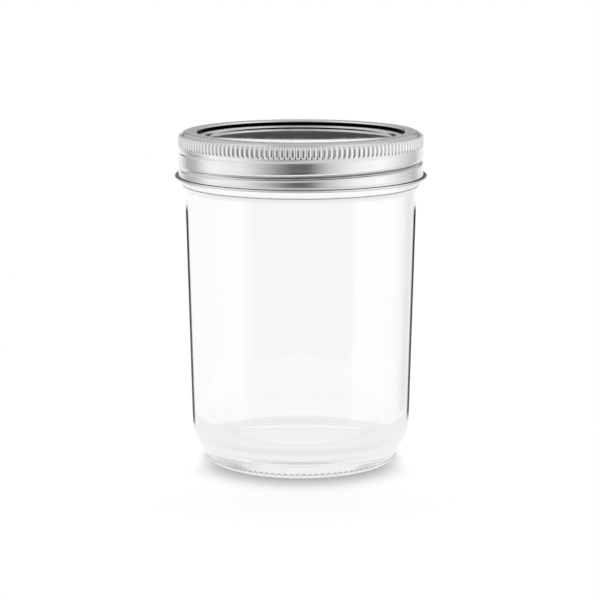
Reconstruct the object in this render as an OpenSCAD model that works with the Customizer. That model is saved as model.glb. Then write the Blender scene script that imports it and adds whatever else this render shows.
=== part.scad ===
// Wide-mouth glass jar for a sourdough starter, with a two-piece screw lid.
// Millimetres, +Z up, origin on the floor at the centre of the base.
// The jar carries an outside thread near its mouth. A flat disc with a sealing
// ring lies on the rim, and an open screw band clamps it down.

/* [Jar] */
// Height of the glass from the floor to its rim
jar_h = 116.7; // [100:0.1:180]
// How far the shoulder stays inside the crest of the thread
shoulder_in = 1.8; // [1.2:0.1:2.6]
// How much the body narrows from the shoulder to the heel, on each side
taper = 1.8; // [0:0.05:4]
// Wall of the body
wall_t = 2.8; // [2:0.1:3.6]
// Thickness of the floor at its centre
floor_t = 4.4; // [3:0.1:7]
// Slope of the inside floor at its edge, in degrees
floor_slope = 6; // [3:0.5:10]
// Radius of the upper part of the heel
heel_r = 14; // [9:0.5:18]
// Lean of the lower part of the heel, from the vertical
heel_lean = 29; // [18:1:34]
// Height of the lower part of the heel
heel_low_h = 7.2; // [6:0.1:11]
// Radius between the lower part of the heel and the foot
foot_r = 0.8; // [0.6:0.1:1.6]
// Height of the hollow under the base
push_up = 1.7; // [0.8:0.1:2.5]
// Width of the flat ring that the jar stands on
foot_w = 2.0; // [1.4:0.1:3]

/* [Neck] */
// Diameter over the glass thread. The jar and both lid parts take their width from it.
thread_d = 85.6; // [70:0.1:110]
// Height of the thread above the neck
thread_h = 1.6; // [1.3:0.1:1.9]
// How far the rim stays inside the neck
rim_step = 0.3; // [0:0.1:0.8]
// Thickness of the rim
rim_w = 3.0; // [2.6:0.1:4]
// Radius of the two edges of the rim
rim_edge_r = 0.8; // [0.4:0.1:1]
// How far the bead below the thread stands out of the neck
bead_out = 1.1; // [0.6:0.1:1.4]
// Distance from the rim down to the top of the bead
bead_drop = 15.4; // [14:0.1:18]
// Height of the bead
bead_h = 2.1; // [1.7:0.1:3]
// Radius of the upper edge of the bead
bead_top_r = 0.9; // [0.6:0.1:1.1]
// Radius of the lower edge of the bead
bead_low_r = 0.5; // [0.3:0.1:0.8]
// Radius of the hollow curve below the bead
waist_r = 2.6; // [1.8:0.1:3.2]
// Height of the waist from the shoulder up to that curve
waist_h = 4.9; // [3.6:0.1:7]
// Depth of the waist below the shoulder
waist_in = 0.15; // [0.05:0.05:0.6]

/* [Thread] */
// Rise of the thread in one turn
pitch = 6.35; // [5.5:0.05:7.2]
// Length of the glass thread in degrees
thread_sweep = 400; // [360:5:450]
// Direction of the upper end of the glass thread, from +X
thread_end = 80; // [0:5:355]
// Distance from the rim down to the middle of the thread at its upper end
thread_drop = 4.14; // [3.9:0.01:6]
// Width of the crest of the glass thread
thread_crest_w = 1.1; // [0.8:0.1:1.4]
// Width of the glass thread at the neck
thread_foot_w = 3.8; // [3.2:0.1:4.2]
// Room between the glass thread and the band
thread_room = 0.35; // [0.3:0.01:0.5]

/* [Band] */
// Height of the band
band_h = 16.25; // [15.6:0.05:17.4]
// Thickness of the band's sheet
band_t = 0.3; // [0.25:0.01:0.35]
// Width of the band's flange, from its opening to its outside
flange_w = 6.45; // [5.4:0.05:7.4]
// Outside radius of the band's top corner
corner_r = 2.7; // [2.2:0.1:3.1]
// Height of the rolled hem round the opening
hem_h = 0.9; // [0.7:0.05:1]
// Number of ribs on the grip
rib_count = 148; // [96:1:160]
// Height of a rib above the sheet
rib_h = 0.3; // [0.2:0.01:0.35]
// Width of the gap between two ribs
rib_gap_w = 0.7; // [0.5:0.05:0.9]
// How far the ribs run up round the top corner, in degrees
rib_reach = 30; // [20:1:36]
// Distance from the top of the band down to the lower end of the ribs
grip_drop = 5.05; // [4.8:0.05:5.4]
// Deepest inward roll of the band's thread
groove_depth = 1.3; // [1.1:0.05:1.5]
// Height of the flared skirt above the middle of the curl
skirt_h = 1.75; // [1.5:0.05:2]
// Radius of the curl at the lower edge
curl_r = 0.6; // [0.5:0.01:0.75]
// How far the curl stands out of the band
curl_out = 1.45; // [1.3:0.05:1.8]

/* [Lid] */
// Thickness of the lid disc's sheet
disc_t = 0.25; // [0.2:0.01:0.3]
// Room between the disc's edge and the inside of the band
disc_room = 0.75; // [0.6:0.05:1]
// Depth of the ring-shaped step below the top of the disc
step_depth = 1.5; // [1.2:0.05:1.7]
// Width of the ring-shaped step
step_w = 5.15; // [3:0.05:10]
// Depth of the centre panel below the ring-shaped step
panel_depth = 0.6; // [0.4:0.05:0.9]
// Depth of the dished centre below the edge of the panel
dish_depth = 1.5; // [0.5:0.1:2]
// Thickness of the sealing ring
seal_t = 1.0; // [0.9:0.05:1.2]
// How far the sealing ring stays outside the mouth
seal_inset = 1.05; // [0.9:0.05:1.3]

/* [Smoothness] */
// Steps in a turn of the glass thread and of the band's thread
turn_steps = 96; // [72:1:120]

/* [Hidden] */

// Colours
glass_colour = [0.86, 0.92, 0.92, 0.45];
steel_colour = [0.78, 0.79, 0.80];
disc_colour = [0.86, 0.87, 0.88];
seal_colour = [0.72, 0.70, 0.66];

// Levels, all set by the rim
seal_top_z = jar_h + seal_t;
disc_top_z = seal_top_z + disc_t;
band_top_z = disc_top_z + band_t;
band_low_z = band_top_z - band_h;
bead_top_z = jar_h - bead_drop;
bead_low_z = bead_top_z - bead_h;
waist_z = bead_low_z - waist_r * sin(50);
shoulder_z = waist_z - waist_h;
thread_top_z = jar_h - thread_drop;

// Round sizes of the glass
thread_r = thread_d / 2;
neck_r = thread_r - thread_h;
rim_r = neck_r - rim_step;
mouth_r = rim_r - rim_w;
bead_r = neck_r + bead_out;
shoulder_r = thread_r - shoulder_in;
neck_low_r = shoulder_r - waist_in;
heel_top_r = shoulder_r - taper;
heel_arc_x = heel_top_r - heel_r;
heel_mid = [heel_arc_x + heel_r * cos(heel_lean), heel_low_h];
heel_top_z = heel_mid[1] + heel_r * sin(heel_lean);
foot_top = foot_r * (1 - sin(heel_lean));
foot_x = heel_mid[0] - (heel_mid[1] - foot_top) * tan(heel_lean) - foot_r * cos(heel_lean);
foot_in_x = foot_x - foot_w;
inner_heel_r = heel_r - wall_t;
inner_floor_z = push_up + floor_t;
inner_heel_x = heel_top_r - heel_r;
floor_edge_x = inner_heel_x + inner_heel_r * sin(floor_slope);
floor_arc_r = floor_edge_x / sin(floor_slope);
inner_heel_z = inner_floor_z + floor_arc_r - (floor_arc_r - inner_heel_r) * cos(floor_slope);

// Round sizes of the metal parts, all set by the thread
band_in_r = thread_r + thread_room;
band_out_r = band_in_r + band_t;
rib_root_r = band_out_r - rib_h;
grip_in_r = rib_root_r - band_t;
grip_low_z = band_top_z - grip_drop;
curl_x = band_out_r + curl_out - curl_r;
curl_z = band_low_z + curl_r;
skirt_z = curl_z + skirt_h;
disc_r = grip_in_r - disc_room;
disc_corner_r = corner_r - disc_room + 0.05;
disc_corner_x = disc_r - disc_corner_r;
disc_corner_z = disc_top_z - disc_corner_r;
seal_in_r = mouth_r + seal_inset;
channel_in_r = seal_in_r - 0.2;
step_in_r = channel_in_r - step_depth - step_w;
opening_r = band_out_r - flange_w;

// Overlap of solids that are joined into one piece
join = 0.15;

// Points on an arc about a centre, from angle a to angle b
function arc(centre, r, a, b, steps) = [
    for (i = [0 : steps])
        centre + r * [cos(a + (b - a) * i / steps), sin(a + (b - a) * i / steps)]
];

// Eased step from 0 to 1 while x goes from a to b
function ease(x, a, b) =
    let (t = min(1, max(0, (x - a) / (b - a))))
    t * t * (3 - 2 * t);

function unit(v) = v / norm(v);

function left_of(v) = [-v[1], v[0]];

// Shift of one point of a path that moves its sheet sideways by t
function side_step(path, i, t) =
    let (
        last = len(path) - 1,
        before = i > 0 ? unit(path[i] - path[i - 1]) : unit(path[1] - path[0]),
        after = i < last ? unit(path[i + 1] - path[i]) : before,
        middle = unit(left_of(before) + left_of(after))
    )
    t * middle / (middle * left_of(before));

// Closed outline of a bent sheet: the path, then its left side walked back
function sheet(path, t) = concat(
    path,
    [for (i = [len(path) - 1 : -1 : 0]) path[i] + side_step(path, i, t)]
);

module revolve(outline) {
    rotate_extrude($fn = 180) polygon(outline);
}

// Height of the middle of the thread at an angle before its upper end
function thread_z(before_end) = thread_top_z - pitch * before_end / 360;

// Outside of the glass from the foot up to the rim
function glass_outside() = concat(
    arc([foot_x, foot_r], foot_r, -90, -heel_lean, 5),
    arc([heel_arc_x, heel_top_z], heel_r, -heel_lean, 0, 6),
    [
        for (i = [0 : 4])
            [shoulder_r - waist_in * ease(i, 0, 4), shoulder_z - 1.6 + 0.4 * i]
    ],
    arc([neck_low_r + waist_r, waist_z], waist_r, 180, 130, 6),
    arc([bead_r - bead_low_r, bead_low_z + bead_low_r], bead_low_r, -60, 0, 4),
    arc([bead_r - bead_top_r, bead_top_z - bead_top_r], bead_top_r, 0, 70, 5),
    [[neck_r, bead_top_z + 0.7]],
    [[neck_r, jar_h - 2.6], [rim_r, jar_h - 1.9]],
    arc([rim_r - rim_edge_r, jar_h - rim_edge_r], rim_edge_r, 0, 90, 5)
);

// Inside of the glass from the rim down to the floor
function glass_inside() = concat(
    arc([mouth_r + rim_edge_r, jar_h - rim_edge_r], rim_edge_r, 90, 180, 5),
    [
        [mouth_r, bead_low_z],
        [shoulder_r - wall_t, shoulder_z - 4]
    ],
    arc([inner_heel_x, inner_heel_z], inner_heel_r, 0, floor_slope - 90, 10),
    arc([0, inner_floor_z + floor_arc_r], floor_arc_r, 0.9 * floor_slope - 90, -90, 6)
);

// Hollow under the base
function glass_under() = [
    [0, push_up],
    [foot_in_x - 3.4, push_up * 0.94],
    [foot_in_x - 1.2, push_up * 0.5],
    [foot_in_x, 0]
];

// Ridge of the glass thread. It grows out of the neck and sinks back into it.
module glass_thread() {
    steps = round(turn_steps * thread_sweep / 360);
    root_r = neck_r - 0.6;
    crest = thread_crest_w / 2;
    foot = thread_foot_w / 2 + 0.35;
    section = [
        [0, -foot], [0.77, -(crest + foot) * 0.46], [1, -crest],
        [1, crest], [0.77, (crest + foot) * 0.46], [0, foot]
    ];
    count = len(section);
    rise = thread_r - root_r;
    points = [
        for (i = [0 : steps])
            let (
                turn = thread_sweep * i / steps,
                angle = thread_end - thread_sweep + turn,
                full = min(ease(turn, 0, 32), ease(thread_sweep - turn, 0, 32)),
                grown = 0.16 + 0.84 * full
            )
            for (p = section)
                let (r = root_r + rise * p[0] * grown)
                [r * cos(angle), r * sin(angle), thread_z(thread_sweep - turn) + p[1]]
    ];
    sides = [
        for (i = [0 : steps - 1], j = [0 : count - 1])
            let (
                a = i * count + j,
                b = i * count + (j + 1) % count
            )
            each [[a, b, b + count], [a, b + count, a + count]]
    ];
    start_cap = [[for (j = [count - 1 : -1 : 0]) j]];
    end_cap = [[for (j = [0 : count - 1]) steps * count + j]];
    polyhedron(points, concat(sides, start_cap, end_cap), convexity = 6);
}

module glass_jar() {
    color(glass_colour) union() {
        revolve(concat(glass_outside(), glass_inside(), glass_under()));
        glass_thread();
    }
}

// Flange, hem, rounded corner and grip of the band, without the flutes
module band_top() {
    hem_r = hem_h / 2;
    hem_x = opening_r + hem_r;
    corner_x = band_out_r - corner_r;
    root_corner_r = corner_r - rib_h;
    corner = [corner_x, band_top_z - root_corner_r];
    inner_r = grip_in_r - corner_x;
    collar_z = grip_low_z - 0.2;
    revolve(concat(
        arc([hem_x, band_top_z - hem_r], hem_r, 300, 90, 10),
        arc(corner, root_corner_r, 90, rib_reach + 9, 8),
        arc(corner, corner_r, rib_reach, 0, 6),
        [
            [band_out_r, grip_low_z + 0.75],
            [rib_root_r + join, grip_low_z + 0.1],
            [rib_root_r + join, collar_z],
            [grip_in_r - join, collar_z],
            [grip_in_r - join, grip_low_z + 0.1],
            [grip_in_r, grip_low_z + 0.4]
        ],
        arc([corner_x, band_top_z - band_t - inner_r], inner_r, 0, 90, 8),
        [[hem_x + hem_r + 0.2, band_top_z - band_t]]
    ));
}

// Round cutters that leave the ribs of the grip
module flutes() {
    step = 360 / rib_count;
    flute_r = rib_gap_w / 2;
    for (i = [0 : rib_count - 1])
        rotate([0, 0, i * step])
            translate([rib_root_r + flute_r, 0, grip_low_z - 0.1])
                cylinder(h = corner_r + grip_drop, r = flute_r, $fn = 24);
}

// Depth of the band's roll at an angle and a height
function roll_depth(angle, z) =
    groove_depth
    * ease(z - skirt_z, 0.15, 2.15)
    * ease(grip_low_z - z, 0, 3.7)
    * pow((1 - cos(360 * (z - thread_z(thread_end - angle)) / pitch)) / 2, 3);

// Rolled middle of the band. One sheet follows the thread inside and outside.
module band_thread() {
    rows = 14;
    low_z = skirt_z;
    high_z = grip_low_z - join / 2;
    function wall_r(angle, z) =
        band_in_r - roll_depth(angle, z) - rib_h * ease(z, high_z - 1.1, high_z);
    function row_z(k) = low_z + (high_z - low_z) * k / rows;
    function row(k, grow) = [
        for (i = [0 : turn_steps - 1])
            let (
                angle = 360 * i / turn_steps,
                r = wall_r(angle, row_z(k)) + grow
            )
            [r * cos(angle), r * sin(angle), row_z(k)]
    ];
    points = concat(
        [for (k = [0 : rows]) each row(k, band_t)],
        [for (k = [rows : -1 : 0]) each row(k, 0)]
    );
    rings = 2 * (rows + 1);
    faces = [
        for (k = [0 : rings - 1], i = [0 : turn_steps - 1])
            let (
                below = k * turn_steps,
                above = ((k + 1) % rings) * turn_steps,
                next = (i + 1) % turn_steps
            )
            each [
                [below + i, above + i, above + next],
                [below + i, above + next, below + next]
            ]
    ];
    polyhedron(points, faces, convexity = 8);
}

// Flared skirt and outward curl at the lower edge of the band, with the collar
// that joins them to the rolled middle
module band_curl() {
    collar_low = skirt_z - 0.2;
    collar_high = skirt_z + 0.15;
    revolve(sheet(concat(
        [
            [band_in_r, collar_high - 0.05],
            [band_in_r, collar_low - 0.1],
            [band_in_r + 0.1, (collar_low + curl_z) / 2 + 0.1]
        ],
        arc([curl_x, curl_z], curl_r, 165, 475, 18)
    ), band_t));
    revolve([
        [band_in_r - 0.1, collar_low],
        [band_out_r + 0.1, collar_low],
        [band_out_r + 0.1, collar_high],
        [band_in_r - 0.1, collar_high]
    ]);
}

module screw_band() {
    color(steel_colour) union() {
        difference() {
            band_top();
            flutes();
        }
        band_thread();
        band_curl();
    }
}

module lid_disc() {
    step_z = disc_top_z - step_depth;
    panel_z = step_z - panel_depth;
    panel_r = step_in_r - panel_depth;
    dish_r = (panel_r * panel_r + dish_depth * dish_depth) / (2 * dish_depth);
    dish_angle = asin(panel_r / dish_r);
    path = concat(
        arc([disc_corner_x, disc_corner_z], disc_corner_r, 0, 90, 9),
        [
            [channel_in_r, disc_top_z],
            [channel_in_r - step_depth, step_z],
            [step_in_r, step_z]
        ],
        arc([0, panel_z - dish_depth + dish_r], dish_r, dish_angle - 90, -90, 8)
    );
    color(disc_colour) revolve(sheet(path, disc_t));
}

module sealing_ring() {
    outer_r = disc_corner_r - disc_t - 0.12;
    low_angle = asin((jar_h - disc_corner_z) / outer_r);
    high_angle = asin((seal_top_z - disc_corner_z - 0.12) / outer_r);
    color(seal_colour) revolve(concat(
        [[seal_in_r, jar_h]],
        arc([disc_corner_x, disc_corner_z], outer_r, low_angle, high_angle, 6),
        [[disc_corner_x, seal_top_z], [seal_in_r, seal_top_z]]
    ));
}

glass_jar();
screw_band();
lid_disc();
sealing_ring();
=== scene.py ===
"""Looks of the wide-mouth glass jar with its two-piece screw lid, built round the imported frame.

Outlines are in millimetres as (radius, height) points. lathe() turns them into meshes in metres.
"""
import math

import bpy
import numpy as np
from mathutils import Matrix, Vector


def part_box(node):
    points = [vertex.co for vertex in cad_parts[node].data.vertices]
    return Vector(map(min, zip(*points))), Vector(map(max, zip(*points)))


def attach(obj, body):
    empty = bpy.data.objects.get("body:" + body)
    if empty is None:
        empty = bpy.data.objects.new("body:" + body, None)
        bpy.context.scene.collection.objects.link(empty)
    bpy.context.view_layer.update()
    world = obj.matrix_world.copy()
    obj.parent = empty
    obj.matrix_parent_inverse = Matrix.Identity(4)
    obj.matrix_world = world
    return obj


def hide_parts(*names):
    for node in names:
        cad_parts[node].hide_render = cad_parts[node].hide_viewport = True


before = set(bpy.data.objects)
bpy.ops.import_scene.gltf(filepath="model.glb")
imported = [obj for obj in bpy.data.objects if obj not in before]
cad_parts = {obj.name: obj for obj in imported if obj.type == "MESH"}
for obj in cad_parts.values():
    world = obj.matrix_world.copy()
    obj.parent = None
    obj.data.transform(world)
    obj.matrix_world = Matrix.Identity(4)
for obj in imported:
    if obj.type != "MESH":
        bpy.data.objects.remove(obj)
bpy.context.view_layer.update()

# Units and mesh density
MM = 0.001
RIBS = 148  # ribs of the band's grip
TURN = 2 * RIBS  # steps round a plain ring of points
FOOT_FINE = 4  # times more steps where the foot carries its grains
GRIP_FINE = 6  # times more steps where the grip carries its ribs

# Heights and widths that the frame gives, in millimetres
JAR_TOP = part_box("glass_jar")[1].z / MM
BAND_LOW, BAND_TOP = (corner.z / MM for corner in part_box("screw_band"))
CURL_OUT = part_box("screw_band")[1].x / MM
DISC_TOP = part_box("lid_disc")[1].z / MM
DISC_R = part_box("lid_disc")[1].x / MM
SEAL_LOW, SEAL_TOP = (corner.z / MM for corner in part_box("sealing_ring"))

# Glass
BAND_SIDE = CURL_OUT - 1.45
THREAD_R = BAND_SIDE - 0.65
THREAD_H = 1.6
NECK_R = THREAD_R - THREAD_H
RIM_R = NECK_R - 0.3
MOUTH_R = RIM_R - 3.0
RIM_EDGE = 0.8
BEAD_R = NECK_R + 1.1
BEAD_TOP = JAR_TOP - 15.4
BEAD_LOW = BEAD_TOP - 2.1
BEAD_TOP_EDGE = 0.9
BEAD_LOW_EDGE = 0.5
WAIST_CURVE = 2.6
WAIST_TURN = 50.0
WAIST_Z = BEAD_LOW - WAIST_CURVE * math.sin(math.radians(WAIST_TURN))
SHOULDER_R = THREAD_R - 1.8
SHOULDER_Z = WAIST_Z - 4.9
WAIST_R = SHOULDER_R - 0.15
HEEL_TOP_R = SHOULDER_R - 1.8
WALL = 2.8
HEEL_R = 14.0
HEEL_LEAN = 29.0
HEEL_LOW = 7.2
FOOT_R = 0.8
FOOT_W = 2.0
PUSH_UP = 1.7
FLOOR_Z = PUSH_UP + 4.4
FLOOR_SLOPE = 6.0
GRAINS = 98
GRAIN_Z = 1.15
GRAIN_H = 0.3

# Thread, shared by the glass and the band
PITCH = 6.35
THREAD_TOP = JAR_TOP - 4.14
THREAD_END = 80.0
THREAD_SWEEP = 400.0

# Band
SHEET = 0.3
CORNER_R = 2.7
HEM_R = 0.45
OPENING_R = BAND_SIDE - 6.45
RIB_H = 0.3
RIB_REACH = 36.0
GRIP_LOW = BAND_TOP - 5.05
ROLL_DEPTH = 0.9
ROLL_SHARP = 4  # of the roll's upper side
ROLL_SHARP_LOW = 20  # of its lower side
ROLL_LINE = 0.2  # the painted dark shade line in the roll lies this far above its deepest point
NECK_IN = 1.9  # height over which the sheet draws in below the ribs
CURL_R = 0.5
CURL_X = CURL_OUT - CURL_R
CURL_Z = BAND_LOW + CURL_R
SKIRT_Z = CURL_Z + 1.75

# Disc and seal
DISC_T = 0.25
DISC_CORNER = 2.0
CHANNEL_R = 38.1
SEAL_IN = 38.95
STEP_DEPTH = 1.0
STEP_W = 4.5
STEP_FALL = 0.8  # of the step's inner edge below its outer one
PANEL_DEPTH = 0.02
DISH_DEPTH = 0.9


def ease(x, low, high):
    """Eased step from 0 to 1 while x goes from low to high."""
    t = np.clip((np.asarray(x, float) - low) / (high - low), 0, 1)
    return t * t * (3 - 2 * t)


def arc(x, z, r, start, end, step=4.0):
    """Points on an arc about (x, z), from one angle to another, in degrees."""
    count = max(2, math.ceil(abs(end - start) / step))
    angles = np.radians(np.linspace(start, end, count + 1))
    return np.stack([x + r * np.cos(angles), z + r * np.sin(angles)], 1)


def line(a, b, step):
    """Points from a up to b, both included, no further apart than step."""
    a, b = np.array(a, float), np.array(b, float)
    count = max(1, math.ceil(np.linalg.norm(b - a) / step))
    return a + (b - a) * np.linspace(0, 1, count + 1)[:, None]


def joined(*stretches):
    """One outline from several stretches, without doubled points."""
    points = np.concatenate([np.atleast_2d(s) for s in stretches])
    keep = [0]
    for i in range(1, len(points)):
        if np.linalg.norm(points[i] - points[keep[-1]]) > 0.02:
            keep.append(i)
    return points[keep]


def softened(points, width, step=0.1):
    """The same path with its corners rounded over about width."""
    length = np.concatenate([[0], np.cumsum(np.linalg.norm(np.diff(points, axis=0), axis=1))])
    along = np.linspace(0, length[-1], max(4, int(length[-1] / step)))
    dense = np.stack([np.interp(along, length, points[:, k]) for k in (0, 1)], 1)
    reach = int(2 * width / step)
    weights = np.exp(-0.5 * (np.arange(-reach, reach + 1) * step / (0.5 * width)) ** 2)
    weights /= weights.sum()
    first, last = dense[0], dense[-1]
    before = first + (first - dense[1 : reach + 1])[::-1]
    after = last + (last - dense[-reach - 1 : -1])[::-1]
    padded = np.concatenate([before, dense, after])
    return np.stack([np.convolve(padded[:, k], weights, "valid") for k in (0, 1)], 1)


def spaced(points, widest, turn=4.0):
    """Fewer points on a dense path: no turn above turn degrees, and no gap above widest."""
    kept, heading = [0], None
    for i in range(1, len(points) - 1):
        step = points[i + 1] - points[i]
        angle = math.degrees(math.atan2(step[1], step[0]))
        if heading is None:
            heading = angle
        bend = abs((angle - heading + 180) % 360 - 180)
        if bend >= turn or np.linalg.norm(points[i] - points[kept[-1]]) >= widest:
            kept.append(i)
            heading = angle
    return points[kept + [len(points) - 1]]


def turns(count):
    """Angles round a ring of count points, in degrees."""
    return np.arange(count) * 360.0 / count


def lathe(name, rings, closed):
    """Mesh from rings of points: (radii, heights) round the turn. A ring of one point is a pole."""
    starts, points = [], []
    total = 0
    for radii, height in rings:
        angles = np.radians(turns(len(radii)))
        heights = np.broadcast_to(height, len(radii))
        points.append(np.stack([radii * np.cos(angles), radii * np.sin(angles), heights], 1))
        starts.append(total)
        total += len(radii)
    faces = []
    pairs = list(zip(range(len(rings)), range(1, len(rings))))
    if closed:
        pairs.append((len(rings) - 1, 0))
    for a, b in pairs:
        na, nb = len(rings[a][0]), len(rings[b][0])
        few = max(min(na, nb), TURN)
        for i in range(few):
            ring_a = [starts[a] + (i * na // few + k) % na for k in range(max(1, na // few) + (na > 1))]
            ring_b = [starts[b] + (i * nb // few + k) % nb for k in range(max(1, nb // few) + (nb > 1))]
            faces.append(ring_a + ring_b[::-1])
    mesh = bpy.data.meshes.new(name)
    mesh.from_pydata((np.concatenate(points) * MM).tolist(), [], faces)
    mesh.validate()
    mesh.update()
    mesh.shade_smooth()
    piece = bpy.data.objects.new(name, mesh)
    bpy.context.scene.collection.objects.link(piece)
    return piece


def paint(piece, name, values):
    """Keep one number for each point of the mesh, for its material to read."""
    attribute = piece.data.attributes.new(name, "FLOAT", "POINT")
    attribute.data.foreach_set("value", np.asarray(values, np.float32))


def lathe_sheet(name, outline):
    """Plain turned piece from a closed outline."""
    return lathe(name, [(np.full(TURN, r), z) for r, z in outline], closed=True)


def glass_outline():
    """Path from under the base up the outside, over the rim and down to the inside floor."""
    lean, slope = math.radians(HEEL_LEAN), math.radians(FLOOR_SLOPE)
    heel_x = HEEL_TOP_R - HEEL_R
    heel_mid_x = heel_x + HEEL_R * math.cos(lean)
    heel_top = HEEL_LOW + HEEL_R * math.sin(lean)
    foot_top = FOOT_R * (1 - math.sin(lean))
    foot_x = heel_mid_x - (HEEL_LOW - foot_top) * math.tan(lean) - FOOT_R * math.cos(lean)
    foot_in = foot_x - FOOT_W
    inner_r = HEEL_R - WALL
    floor_r = (heel_x + inner_r * math.sin(slope)) / math.sin(slope)
    inner_z = FLOOR_Z + floor_r - (floor_r - inner_r) * math.cos(slope)
    return joined(
        (0, PUSH_UP),
        (foot_in - 3.4, PUSH_UP * 0.94),
        (foot_in - 1.2, PUSH_UP * 0.5),
        (foot_in, 0),
        arc(foot_x, FOOT_R, FOOT_R, -90, -HEEL_LEAN),
        arc(heel_x, heel_top, HEEL_R, -HEEL_LEAN, 0),
        (SHOULDER_R, SHOULDER_Z - 1.6),
        (WAIST_R, SHOULDER_Z),
        arc(WAIST_R + WAIST_CURVE, WAIST_Z, WAIST_CURVE, 180, 180 - WAIST_TURN),
        arc(BEAD_R - BEAD_LOW_EDGE, BEAD_LOW + BEAD_LOW_EDGE, BEAD_LOW_EDGE, -60, 0, 12),
        arc(BEAD_R - BEAD_TOP_EDGE, BEAD_TOP - BEAD_TOP_EDGE, BEAD_TOP_EDGE, 0, 70, 8),
        (NECK_R, BEAD_TOP + 0.7),
        (NECK_R, JAR_TOP - 2.6),
        (RIM_R, JAR_TOP - 1.9),
        arc(RIM_R - RIM_EDGE, JAR_TOP - RIM_EDGE, RIM_EDGE, 0, 90),
        arc(MOUTH_R + RIM_EDGE, JAR_TOP - RIM_EDGE, RIM_EDGE, 90, 180),
        (MOUTH_R, BEAD_LOW),
        (SHOULDER_R - WALL, SHOULDER_Z - 4),
        arc(heel_x, inner_z, inner_r, 0, FLOOR_SLOPE - 90),
        arc(0, FLOOR_Z + floor_r, floor_r, FLOOR_SLOPE - 90, -90, 0.5),
    )


def thread_ridge(angles, z):
    """How far the glass thread stands out of the neck."""
    out = np.zeros(len(angles))
    for turn in (-1, 0, 1):
        before_end = (THREAD_END - angles) % 360 + 360 * turn
        fade = np.minimum(ease(before_end, 0, 32), ease(THREAD_SWEEP - before_end, 0, 32))
        off = np.abs(z - (THREAD_TOP - PITCH * before_end / 360))
        out = np.maximum(out, THREAD_H * fade * (1 - ease(off, 0.45, 1.95)))
    return out


def grains(angles, z):
    """Height of the small round grains in a ring above the foot."""
    across = ((angles * GRAINS / 360 + 0.5) % 1 - 0.5) * 2 * math.pi * HEEL_TOP_R * 0.9 / GRAINS
    off = np.hypot(across / 0.85, (z - GRAIN_Z) / 0.8)
    return GRAIN_H * (1 - ease(off, 0.3, 1.0))


def grain_shade(angles, z):
    """Painted shade: a dark line round the upper side of each of the grains."""
    across = ((angles * GRAINS / 360 + 0.5) % 1 - 0.5) * 2 * math.pi * HEEL_TOP_R * 0.9 / GRAINS
    off = np.hypot(across / 0.85, (z - GRAIN_Z) / 0.8)
    return (1 - ease(np.abs(off - 0.8), 0.15, 0.45)) * ease(z - GRAIN_Z, -0.3, 0.2)


def wander(angles, z):
    """Slow unevenness of the inside of pressed glass."""
    a = np.radians(angles)
    slow = 0.02 * np.sin(3 * a + z / 17) + 0.01 * np.sin(2 * a + z / 6 + 2)
    return slow + 0.012 * np.sin(7 * a - z / 11 + 1)


def make_jar():
    path = spaced(softened(glass_outline(), 0.5), 2.0, 3.5)
    outer = path[: int(np.argmax(path[:, 1]))]
    low, high = (int(np.argmin(np.hypot(outer[:, 0] - 35, outer[:, 1] - z))) for z in (GRAIN_Z - 0.9, GRAIN_Z + 1.0))
    path = np.concatenate([path[:low], line(path[low], path[high], 0.16), path[high + 1 :]])
    rim = int(np.argmax(path[:, 1]))
    foot = int(np.flatnonzero(path[:rim, 1] < 0.02).max())
    rings, side, dots = [], [], []
    for i, (r, z) in enumerate(path):
        if i in (0, len(path) - 1):
            rings.append((np.zeros(1), z))
            side.append(np.zeros(1))
            dots.append(np.zeros(1))
            continue
        outside = foot < i < rim
        grained = outside and abs(z - GRAIN_Z) < 0.85
        angles = turns(TURN * FOOT_FINE if grained else TURN)
        radii = np.full(len(angles), r)
        if grained:
            radii = radii + grains(angles, z)
        if outside and z > BEAD_TOP:
            radii = np.maximum(radii, NECK_R - 0.02 + thread_ridge(angles, z))
        if i > rim and z > FLOOR_Z + 4:
            radii = radii + wander(angles, z) * float(ease(JAR_TOP - z, 2, 14))
        rings.append((radii, z))
        # Painted shade: dark lines down both sides of the glass, ending a little higher on the +X side
        lowest = 13.25 + 1.25 * np.cos(np.radians(angles))
        lined = ease(z - lowest, 0, 3) * ease(SHOULDER_Z - z, -0.8, 0.4) * (0.86 + 0.1 * z / SHOULDER_Z)
        side.append(lined if outside else np.zeros(len(angles)))
        # Painted shade: a dark line just under the bead
        under_bead = ease(z, BEAD_LOW + 0.05, BEAD_LOW + 0.3) * ease(z, BEAD_LOW + 0.75, BEAD_LOW + 0.5)
        bead_shade = np.full(len(angles), 1.3 * float(under_bead) if outside else 0.0)
        dots.append(grain_shade(angles, z) if grained else bead_shade)
    piece = lathe("jar_glass", rings, closed=False)
    paint(piece, "side", np.concatenate(side))
    paint(piece, "painted_shade_lines", np.concatenate(dots))
    return piece


def roll_depth(angles, z):
    """Depth of the band's roll, which follows the thread."""
    middle = THREAD_TOP - PITCH * (THREAD_END - angles) / 360
    phase = (z - middle) / PITCH % 1
    wave = (1 - np.cos(2 * np.pi * phase)) / 2
    reach = ease(z - SKIRT_Z, 0.15, 2.15) * ease(GRIP_LOW - z, 0, 3.7)
    return ROLL_DEPTH * reach * wave ** np.where(phase < 0.5, ROLL_SHARP_LOW, ROLL_SHARP)


def roll_line(angles, z):
    """Painted shade: a dark line that follows the bottom of the roll."""
    return 0.8 * ease(roll_depth(angles, z - ROLL_LINE), 0.65 * ROLL_DEPTH, 0.95 * ROLL_DEPTH)


def curl_lines(z):
    """Painted shade: dark lines where the curl meets the skirt and along its lower edge."""
    seam = ease(z, CURL_Z + 1.05, CURL_Z + 0.8) * ease(z, CURL_Z + 0.2, CURL_Z + 0.36)
    return np.maximum(seam, 0.55 * ease(z, CURL_Z - 0.1, CURL_Z - 0.4))


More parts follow.
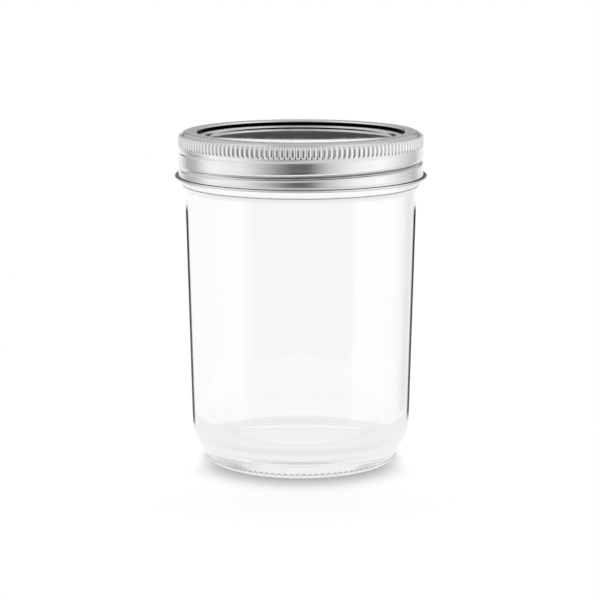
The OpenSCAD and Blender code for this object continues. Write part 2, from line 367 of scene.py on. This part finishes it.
def rib_height(angles, along, length):
    """Height of the ribs, rounded at both ends, at a place along the grip from its lower edge."""
    pitch = 2 * math.pi * BAND_SIDE / RIBS
    half = 0.41 * pitch
    across = ((angles * RIBS / 360) % 1 - 0.5) * pitch
    past_end = max(half - along, along - (length - half), 0)
    off = np.minimum(np.hypot(across, past_end) / half, 1)
    return RIB_H * (1 - off**2) ** 0.5


def gap_shade(angles, along):
    """Painted shade in the gaps between the ribs, darkest at their closed lower ends."""
    between = np.abs((angles * RIBS / 360) % 1 - 0.5)
    return ease(between, 0.36, 0.44) * (0.25 + 0.65 * float(ease(along, 1.0, 0.5)))


def make_band():
    """Sheet from the curl up the outside, round the hem, and down the inside to the curl."""
    hem_x = OPENING_R + HEM_R
    corner_x = BAND_SIDE - CORNER_R
    root_r = BAND_SIDE - RIB_H
    root_corner = CORNER_R - RIB_H
    corner_z = BAND_TOP - root_corner
    grip_in = root_r - SHEET
    inner_r = grip_in - corner_x
    flange_z = BAND_TOP - SHEET
    rib_end = arc(corner_x, corner_z, root_corner, 0, RIB_REACH, 4)
    grip = joined(
        line((root_r, GRIP_LOW), (root_r, GRIP_LOW + 0.9), 0.15),
        line((root_r, GRIP_LOW + 0.9), (root_r, corner_z), 0.6),
        rib_end,
    )
    along = np.concatenate([[0], np.cumsum(np.linalg.norm(np.diff(grip, axis=0), axis=1))])
    skirt = softened(
        joined(
            (CURL_X - 0.29, CURL_Z + 0.08),
            (BAND_SIDE + 0.05, CURL_Z + 0.6),
            (BAND_SIDE, SKIRT_Z - 0.3),
            (BAND_SIDE, SKIRT_Z),
        ),
        0.2,
    )
    under_grip = softened(
        joined(
            arc(corner_x, flange_z - inner_r, inner_r, 60, 0),
            (grip_in, GRIP_LOW + 0.4),
            (grip_in, GRIP_LOW),
        ),
        0.3,
    )
    stretches = [
        ("plain", arc(CURL_X, CURL_Z, CURL_R - SHEET, 475, 165, 16)),
        ("plain", spaced(skirt, 0.4, 5)),
        ("rolled", line((BAND_SIDE, SKIRT_Z), (BAND_SIDE, GRIP_LOW), 0.18)[1:-1]),
        ("grip", grip),
        ("plain", arc(corner_x, corner_z, root_corner, RIB_REACH + 4, 90, 6)),
        ("plain", line((corner_x, BAND_TOP), (hem_x, BAND_TOP), 0.5)[1:-1]),
        ("plain", arc(hem_x, BAND_TOP - HEM_R, HEM_R, 90, 300, 12)),
        ("plain", line((hem_x + HEM_R + 0.2, flange_z), (corner_x, flange_z), 0.8)),
        ("plain", arc(corner_x, flange_z - inner_r, inner_r, 85, 65, 5)),
        ("plain", spaced(under_grip, 0.6, 8)),
        ("rolled", line((BAND_SIDE - SHEET, GRIP_LOW), (BAND_SIDE - SHEET, SKIRT_Z), 0.33)[1:]),
        ("plain", arc(CURL_X, CURL_Z, CURL_R, 165, 475, 10)),
    ]
    rings, painted_shade = [], []
    for kind, points in stretches:
        angles = turns(TURN * GRIP_FINE if kind == "grip" else TURN)
        for i, (r, z) in enumerate(points):
            radii, heights = np.full(len(angles), r), np.full(len(angles), z)
            # Painted shade under the hem's roll, where light doesn't reach the gap
            in_hem = ease(HEM_R - (BAND_TOP - z), 0.05, -0.3) * ease(r, corner_x + 2, corner_x + 1)
            dark = np.full(len(angles), float(in_hem))
            if r > BAND_SIDE - 0.1 and z < CURL_Z + 1.1:
                dark = dark + curl_lines(z)
            if kind == "rolled":
                radii = radii - roll_depth(angles, z) - RIB_H * max(0, (z - GRIP_LOW) / NECK_IN + 1) ** 2
                dark = roll_line(angles, z)
            if kind == "grip":
                lean = math.asin(min(1, max(0, z - corner_z) / root_corner))
                out = rib_height(angles, along[i], along[-1])
                dark = gap_shade(angles, along[i])
                radii = radii + out * math.cos(lean)
                heights = heights + out * math.sin(lean)
            rings.append((radii, heights))
            painted_shade.append(dark)
    piece = lathe("screw_band_metal", rings, closed=True)
    paint(piece, "painted_shade", np.concatenate(painted_shade))
    return piece


def sheet_outline(path, thickness):
    """Closed outline of a bent sheet that lies below its upper face."""
    along = np.gradient(path, axis=0)
    along /= np.linalg.norm(along, axis=1)[:, None]
    under = path + thickness * np.stack([-along[:, 1], along[:, 0]], 1)
    return np.concatenate([path, under[::-1]])


def make_disc():
    """Lid with its raised channel, sloping ring and shallow dished panel."""
    step_z = DISC_TOP - STEP_DEPTH
    panel_z = step_z - STEP_FALL - PANEL_DEPTH
    step_in = CHANNEL_R - STEP_DEPTH - STEP_W
    panel_r = step_in - PANEL_DEPTH
    dish_r = (panel_r**2 + DISH_DEPTH**2) / (2 * DISH_DEPTH)
    dish_angle = math.degrees(math.asin(panel_r / dish_r))
    corner_x = DISC_R - DISC_CORNER
    path = joined(
        arc(corner_x, DISC_TOP - DISC_CORNER, DISC_CORNER, 0, 90),
        (CHANNEL_R, DISC_TOP),
        (CHANNEL_R - STEP_DEPTH, step_z),
        (step_in, step_z - STEP_FALL),
        arc(0, panel_z - DISH_DEPTH + dish_r, dish_r, dish_angle - 90, -90, 0.25),
    )
    dense = softened(path, 0.2, 0.05)
    inside = int(np.argmax(dense[:, 0] < CHANNEL_R - STEP_DEPTH - 0.5))
    top = np.concatenate([spaced(dense[:inside], 0.2, 5), spaced(dense[inside:], 1.0, 5)])
    outline = sheet_outline(top, DISC_T)
    count = len(top)
    rings = [(np.full(TURN, r), z) for r, z in outline]
    rings[count - 1] = (np.zeros(1), outline[count - 1][1])
    rings[count] = (np.zeros(1), outline[count][1])
    rings = rings[count:] + rings[:count]
    piece = lathe("lid_disc_metal", rings, closed=False)
    # Painted shade, near black, on the disc's outer slope and channel, in the gap under the band's hem
    painted_shade = [np.full(len(radii), float(ease(radii.mean(), 36.5, 36.75))) for radii, _ in rings]
    paint(piece, "painted_shade", np.concatenate(painted_shade))
    return piece


def make_seal():
    """Ring of soft compound in the disc's channel."""
    outer = DISC_CORNER - DISC_T - 0.12
    centre = (DISC_R - DISC_CORNER, DISC_TOP - DISC_CORNER)
    low = math.degrees(math.asin((SEAL_LOW - centre[1]) / outer))
    outline = joined(
        line((SEAL_IN, SEAL_LOW), (SEAL_IN + 1.9, SEAL_LOW), 0.4),
        arc(*centre, outer, low, 90),
        line((centre[0], SEAL_TOP - 0.01), (SEAL_IN, SEAL_TOP - 0.01), 0.4),
        (SEAL_IN, SEAL_LOW + 0.3),
    )
    return lathe_sheet("seal_ring", outline)


class Nodes:
    """Short way to fill a node tree. An input that is a socket is linked, and any other is set."""

    def __init__(self, tree):
        self.tree = tree
        tree.nodes.clear()

    def add(self, kind, inputs=None, output=0, **settings):
        node = self.tree.nodes.new("ShaderNode" + kind)
        for name, value in settings.items():
            setattr(node, name, value)
        for name, value in (inputs or {}).items():
            if isinstance(value, bpy.types.NodeSocket):
                self.tree.links.new(value, node.inputs[name])
            else:
                node.inputs[name].default_value = value
        return node.outputs[output]

    def math(self, operation, a, b=0.0, clamp=False):
        return self.add("Math", {0: a, 1: b}, operation=operation, use_clamp=clamp)

    def remap(self, value, low, high, start=0.0, end=1.0, smooth=True):
        """start to end as value goes from low to high."""
        sizes = {"Value": value, "From Min": low, "From Max": high, "To Min": start, "To Max": end}
        kind = "SMOOTHSTEP" if smooth else "LINEAR"
        return self.add("MapRange", sizes, interpolation_type=kind)

    def blend(self, factor, a, b):
        """a where factor is 0, b where it is 1, for plain numbers."""
        return self.add("Mix", {"Factor": factor, "A": a, "B": b}, data_type="FLOAT")

    def ramp(self, value, low, high, stops):
        """Grey level from a list of (position, level), position running from low to high."""
        node = self.tree.nodes.new("ShaderNodeValToRGB")
        self.tree.links.new(self.remap(value, low, high, smooth=False), node.inputs[0])
        points = node.color_ramp.elements
        while len(points) < len(stops):
            points.new(0.5)
        for point, (position, level) in zip(points, stops):
            point.position = (position - low) / (high - low)
            point.color = (level, level, level, 1)
        return node.outputs[0]

    def finish(self, shader, kind="Material", volume=None):
        out = self.tree.nodes.new("ShaderNodeOutput" + kind)
        self.tree.links.new(shader, out.inputs["Surface"])
        if volume:
            self.tree.links.new(volume, out.inputs["Volume"])


def material(name):
    made = bpy.data.materials.new(name)
    made.use_nodes = True
    return made, Nodes(made.node_tree)


def turned_place(nodes):
    """Place on a turned piece: slow round the turn and fast along the sheet, as turning marks run."""
    place = nodes.add("TexCoord", output="Object")
    split = nodes.tree.nodes.new("ShaderNodeSeparateXYZ")
    nodes.tree.links.new(place, split.inputs[0])
    x, y, z = split.outputs
    radius = nodes.math("SQRT", nodes.math("ADD", nodes.math("MULTIPLY", x, x), nodes.math("MULTIPLY", y, y)))
    along = nodes.math("SUBTRACT", nodes.math("MULTIPLY", radius, 900.0), nodes.math("MULTIPLY", z, 900.0))
    slow_x = nodes.math("MULTIPLY", nodes.math("DIVIDE", x, radius), 1.6)
    slow_y = nodes.math("MULTIPLY", nodes.math("DIVIDE", y, radius), 1.6)
    return place, nodes.add("CombineXYZ", {0: slow_x, 1: slow_y, 2: along}), radius, z


def metal(name, grey, rough, mark_depth, smear):
    """Tinned steel with fine turning marks, faint smears, and painted near-black shade where next to no light
    reaches its closed gaps and creases.
    """
    made, nodes = material(name)
    place, turned, radius, z = turned_place(nodes)
    marks = nodes.add("TexNoise", {"Vector": turned, "Scale": 1.0, "Detail": 3.0, "Roughness": 0.6})
    smears = nodes.add("TexNoise", {"Vector": place, "Scale": 55.0, "Detail": 4.0, "Roughness": 0.55})
    uneven = nodes.math("ADD", nodes.math("MULTIPLY", marks, 0.5), nodes.math("MULTIPLY", smears, 0.5))
    dark = tuple(channel * 0.95 for channel in grey) + (1,)
    light = tuple(min(1, channel * 1.04) for channel in grey) + (1,)
    colour = nodes.add(
        "Mix", {"Factor": nodes.remap(uneven, 0.35, 0.65), "A": dark, "B": light}, output=2, data_type="RGBA"
    )
    # Painted shade: near black where the mesh is painted as lying in closed gaps, creases and the roll's dark line
    painted_shade = nodes.add("Attribute", output=2, attribute_name="painted_shade")
    colour = nodes.add(
        "Mix", {"Factor": painted_shade, "A": colour, "B": (0.02, 0.02, 0.02, 1)}, output=2, data_type="RGBA"
    )
    gloss = nodes.remap(uneven, 0.35, 0.65, rough - smear, rough + smear)
    bump = nodes.add("Bump", {"Height": marks, "Strength": 0.35, "Distance": mark_depth})
    tin = nodes.add(
        "BsdfPrincipled",
        {"Base Color": colour, "Metallic": 1.0, "Roughness": gloss, "Normal": bump},
    )
    # Painted light: seen through the glass, the metal glows plain white instead of reflecting, standing in for the
    # inside of the lid, which through the bent glass of the neck is a blur as light as the surroundings
    painted_glow = nodes.add("Emission", {"Color": (1, 1, 1, 1), "Strength": 0.86})
    nodes.finish(nodes.add("MixShader", {0: nodes.add("LightPath", output="Is Transmission Ray"), 1: tin, 2: painted_glow}))
    made.cycles.emission_sampling = "NONE"
    return made


def glass():
    """Clear glass. A thin painted dark line shades its outer wall where it turns away from the eye."""
    made, nodes = material("clear_glass")
    clear = nodes.add(
        "BsdfPrincipled",
        {
            "Base Color": (1, 1, 1, 1),
            "Roughness": 0.0,
            "IOR": 1.5,
            "Transmission Weight": 1.0,
        },
    )
    # Painted light: where light has been thrown to and fro in the glass, the glass glows plain white, as light as
    # the surroundings
    tossed = nodes.math("GREATER_THAN", nodes.add("LightPath", output="Glossy Depth"), 2.5)
    long_way = nodes.math("GREATER_THAN", nodes.add("LightPath", output="Ray Depth"), 8.5)
    painted_glow = nodes.add("Emission", {"Color": (1, 1, 1, 1), "Strength": 0.86})
    clear = nodes.add("MixShader", {0: nodes.math("MAXIMUM", tossed, long_way), 1: clear, 2: painted_glow})
    # Painted shade: near-black lines where the outer wall turns away from the eye, round the grains and under the
    # bead
    dark = nodes.add("BsdfDiffuse", {"Color": (0.03, 0.03, 0.03, 1)})
    facing = nodes.add("LayerWeight", {"Blend": 0.5}, output="Facing")
    side = nodes.add("Attribute", output=2, attribute_name="side")
    entering = nodes.math("SUBTRACT", 1.0, nodes.add("NewGeometry", output="Backfacing"))
    line = nodes.math("MULTIPLY", nodes.remap(facing, 0.78, 0.84), nodes.math("MULTIPLY", side, entering))
    painted_shade_lines = nodes.add("Attribute", output=2, attribute_name="painted_shade_lines")
    line = nodes.math("MAXIMUM", line, nodes.math("MULTIPLY", painted_shade_lines, nodes.math("MULTIPLY", entering, 0.45)))
    lined = nodes.add("MixShader", {0: line, 1: clear, 2: dark})
    lamp_ray = nodes.add("LightPath", output="Is Shadow Ray")
    diffuse_ray = nodes.add("LightPath", output="Is Diffuse Ray")
    # The thick foot lets less light through to the floor
    split = nodes.tree.nodes.new("ShaderNodeSeparateXYZ")
    nodes.tree.links.new(nodes.add("TexCoord", output="Object"), split.inputs[0])
    lets = nodes.remap(split.outputs[2], 0.0005, 0.010, 0.12, 1.0)
    through = nodes.add("BsdfTransparent", {"Color": lets})
    passing = nodes.math("MAXIMUM", lamp_ray, diffuse_ray)
    surface = nodes.add("MixShader", {0: passing, 1: lined, 2: through})
    nodes.finish(surface)
    made.cycles.emission_sampling = "NONE"
    return made


def compound():
    """Soft sealing compound."""
    made, nodes = material("seal_compound")
    place = nodes.add("TexCoord", output="Object")
    mottle = nodes.add("TexNoise", {"Vector": place, "Scale": 240.0, "Detail": 3.0})
    colour = nodes.add(
        "Mix",
        {"Factor": mottle, "A": (0.40, 0.37, 0.32, 1), "B": (0.55, 0.52, 0.46, 1)},
        output=2,
        data_type="RGBA",
    )
    bump = nodes.add("Bump", {"Height": mottle, "Strength": 0.3, "Distance": 0.0002})
    nodes.finish(nodes.add("BsdfPrincipled", {"Base Color": colour, "Roughness": 0.5, "Normal": bump}))
    return made


def make_floor():
    """Pale round floor that fades into the white surroundings."""
    radius = 0.24
    steps = 96
    mesh = bpy.data.meshes.new("floor")
    angles = np.linspace(0, 2 * np.pi, steps, endpoint=False)
    low = -0.0001
    mesh.from_pydata([(radius * math.cos(a), radius * math.sin(a), low) for a in angles], [], [range(steps)])
    piece = bpy.data.objects.new("floor", mesh)
    bpy.context.scene.collection.objects.link(piece)
    made, nodes = material("floor_white")
    seen = nodes.add("LightPath", output="Is Camera Ray")
    place = nodes.add("TexCoord", output="Object")
    away = nodes.add("VectorMath", {0: place}, output=1, operation="LENGTH")
    x, y = (nodes.add("SeparateXYZ", {0: place}, output=axis) for axis in ("X", "Y"))
    side = nodes.math("DIVIDE", nodes.math("ABSOLUTE", x), away)
    front = nodes.math("DIVIDE", nodes.math("MULTIPLY", y, -1.0), away)
    # Painted shade: the floor's glow is dimmed in front of the foot and raised beside it, so the shadow is a little
    # deeper in front of the foot and lighter beside it
    uneven = nodes.math("ADD", nodes.remap(side, 0.85, 1.0, 0.0, 0.12), nodes.remap(front, 0.3, 0.8, 0.0, -0.12))
    uneven = nodes.math("MULTIPLY", uneven, nodes.remap(away, 0.052, 0.036))
    level = nodes.math("MULTIPLY", seen, nodes.math("ADD", uneven, 0.43))
    rim = nodes.remap(away, 0.05, 0.09)
    white = nodes.add("Emission", {"Color": (1, 1, 1, 1), "Strength": 1.0})
    glow = nodes.add("Emission", {"Color": (1, 1, 1, 1), "Strength": level})
    lit = nodes.add("BsdfDiffuse", {"Color": (0.78, 0.78, 0.78, 1)})
    floor = nodes.add("AddShader", {0: lit, 1: glow})
    faded = nodes.add("MixShader", {0: nodes.math("MULTIPLY", rim, seen), 1: floor, 2: white})
    gone = nodes.add("BsdfTransparent", {"Color": (1, 1, 1, 1)})
    # Through the glass the floor shows only under the jar, as a painted shade: a glow whose level deepens to the
    # foot
    shade = nodes.ramp(away, 0.0, 0.05, [(0.0, 0.96), (0.02, 0.94), (0.029, 0.79), (0.033, 0.82), (0.038, 0.98)])
    under = nodes.add("Emission", {"Color": (1, 1, 1, 1), "Strength": shade})
    through = nodes.math(
        "MULTIPLY", nodes.add("LightPath", output="Is Transmission Ray"), nodes.remap(away, 0.046, 0.040)
    )
    behind = nodes.add("MixShader", {0: through, 1: gone, 2: under})
    nodes.finish(nodes.add("MixShader", {0: nodes.add("LightPath", output="Is Glossy Ray"), 1: faded, 2: behind}))
    mesh.materials.append(made)


def make_world():
    """Soft plain light, and a studio that only gloss and glass see."""
    world = bpy.data.worlds.new("studio")
    bpy.context.scene.world = world
    world.use_nodes = True
    nodes = Nodes(world.node_tree)
    direction = nodes.add("TexCoord", output="Generated")
    split = nodes.tree.nodes.new("ShaderNodeSeparateXYZ")
    nodes.tree.links.new(direction, split.inputs[0])
    x, y, z = split.outputs
    degrees = 180 / math.pi
    azimuth = nodes.math(
        "MULTIPLY", nodes.math("ARCTAN2", x, nodes.math("MULTIPLY", y, -1.0)), degrees
    )
    height = nodes.math("MULTIPLY", nodes.math("ARCSINE", z), degrees)
    low_belt = nodes.ramp(
        azimuth, -180, 180,
        [(-180, 1), (-150, 1), (-132, 0.42), (-115, 0.52), (-95, 1.12), (-56, 1.03), (-27, 0.42), (-8, 0.05),
         (7, 0.05), (27, 0.74), (54, 1.15), (82, 1.22), (112, 0.8), (132, 0.55), (150, 1), (180, 1)],
    )
    belt = nodes.ramp(
        azimuth, -180, 180,
        [(-180, 1), (-150, 1), (-132, 0.5), (-115, 0.68), (-95, 1.1), (-56, 1.0), (-27, 0.5), (-8, 0.2),
         (7, 0.2), (27, 0.76), (54, 1.08), (82, 1.18), (112, 0.82), (132, 0.6), (150, 1), (180, 1)],
    )
    lower_sky = nodes.ramp(
        azimuth, -180, 180,
        [(-180, 0.07), (-150, 0.07), (-130, 0.7), (-82, 1.0), (-56, 0.93), (-27, 0.7), (-8, 0.55), (8, 0.55),
         (27, 0.72), (56, 0.97), (82, 1.05), (130, 0.75), (150, 0.07), (180, 0.07)],
    )
    upper_sky = nodes.ramp(
        azimuth, -180, 180,
        [(-180, 0.55), (-130, 0.65), (-85, 1.0), (-56, 0.93), (-27, 0.75), (0, 0.75), (27, 0.78), (56, 1.0),
         (85, 1.05), (130, 0.65), (180, 0.55)],
    )
    high_sky = nodes.ramp(
        azimuth, -180, 180,
        [(-180, 0.6), (-130, 0.7), (-85, 1.25), (-50, 0.7), (-25, 0.55), (20, 0.55), (50, 0.85), (85, 1.25),
         (130, 0.7), (180, 0.6)],
    )
    gloss = nodes.blend(nodes.remap(height, -10, -5), low_belt, belt)
    gloss = nodes.blend(nodes.remap(height, 5.85, 6.2), gloss, lower_sky)
    gloss = nodes.blend(nodes.remap(height, 10, 14), gloss, upper_sky)
    gloss = nodes.blend(nodes.remap(height, 38, 50), gloss, high_sky)
    gloss = nodes.blend(nodes.remap(height, 70, 80), gloss, 0.65)
    gloss = nodes.blend(nodes.remap(height, -36, -22), 1.0, gloss)
    panel = nodes.ramp(
        azimuth, -180, 180,
        [(-180, 0.985), (-61, 0.985), (-59, 0.55), (55.5, 0.55), (57.5, 0.985), (100, 0.985), (125, 0.8),
         (150, 0.8), (165, 0.985), (180, 0.985)],
    )
    panel = nodes.math("MULTIPLY", panel, nodes.remap(height, 4, 14, 1.0, 0.88))
    panel = nodes.math(
        "MULTIPLY", panel, nodes.ramp(height, 0, 90, [(0, 1), (13, 1), (15, 0.75), (18.5, 0.75), (19.5, 1), (25, 1), (28, 0.68), (38, 0.68),
                                          (42, 1), (90, 1)])
    )
    panel = nodes.blend(nodes.remap(height, -20, -14), 0.985, panel)
    sharp = nodes.add("LightPath", output="Is Singular Ray")
    light = nodes.blend(nodes.add("LightPath", output="Is Glossy Ray"), 0.45, gloss)
    light = nodes.blend(sharp, light, panel)
    light = nodes.blend(nodes.add("LightPath", output="Is Camera Ray"), light, 1.0)
    nodes.finish(nodes.add("Background", {"Color": (1, 1, 1, 1), "Strength": light}), "World")


def make_lamp():
    """Wide soft lamp low behind the jar, so its foot throws a short shadow to the front."""
    lamp = bpy.data.lights.new("rear", "AREA")
    lamp.shape = "SQUARE"
    lamp.size = 0.5
    lamp.energy = 5.0
    holder = bpy.data.objects.new("rear", lamp)
    holder.location = (0.0, 0.7, 0.55)
    holder.rotation_euler = (-math.atan2(0.7, 0.55), 0, 0)
    holder.visible_glossy = False
    holder.visible_transmission = False
    bpy.context.scene.collection.objects.link(holder)


def make_camera():
    """Camera of the photograph: level with the lid and looking slightly down."""
    camera = bpy.data.cameras.new("camera")
    camera.sensor_width = 36.0
    camera.lens = 123.86
    holder = bpy.data.objects.new("camera", camera)
    holder.location = (-0.0003, -0.730, 0.1954)
    holder.rotation_euler = (math.radians(90 - 10.72), 0, 0)
    bpy.context.scene.collection.objects.link(holder)
    bpy.context.scene.camera = holder


def dress(piece, body, node, finish):
    piece.data.materials.append(finish)
    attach(piece, body)
    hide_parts(node)


dress(make_jar(), "jar", "glass_jar", glass())
dress(make_band(), "band", "screw_band", metal("band_metal", (0.80, 0.81, 0.82), 0.2, 0.00004, 0.04))
dress(make_disc(), "lid", "lid_disc", metal("disc_metal", (0.88, 0.89, 0.90), 0.05, 0.00002, 0.02))
dress(make_seal(), "lid", "sealing_ring", compound())
make_floor()
make_world()
make_lamp()
make_camera()
bpy.context.scene.view_settings.view_transform = "Standard"
